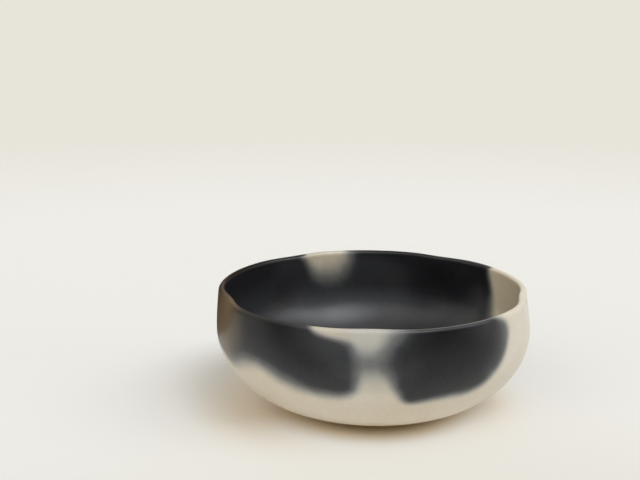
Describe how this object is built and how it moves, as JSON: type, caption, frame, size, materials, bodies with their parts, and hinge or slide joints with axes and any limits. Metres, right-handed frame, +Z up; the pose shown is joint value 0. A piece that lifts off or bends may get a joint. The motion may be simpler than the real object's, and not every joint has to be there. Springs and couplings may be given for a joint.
{
  "type": "sweets bowl",
  "caption": "Wide pottery bowl with a full belly, a rounded lip pinched in at places and a low foot ring, burnished cream with soft black smoke clouds, for serving sweets at tea.",
  "frame": {"origin": "centre of the foot ring, on the table", "axes": "+Z up along the axis of the belly, -Y towards the front, +X to the right seen from the front"},
  "size_m": [0.2, 0.2, 0.079],
  "materials": {
    "burnished_clay": "burnished satin, cream with soft black smoke clouds",
    "bare_clay": "matt unburnished clay"
  },
  "bodies": {
    "root": {"bowl_body": "burnished_clay", "foot_ring": "bare_clay"}
  },
  "joints": []
}
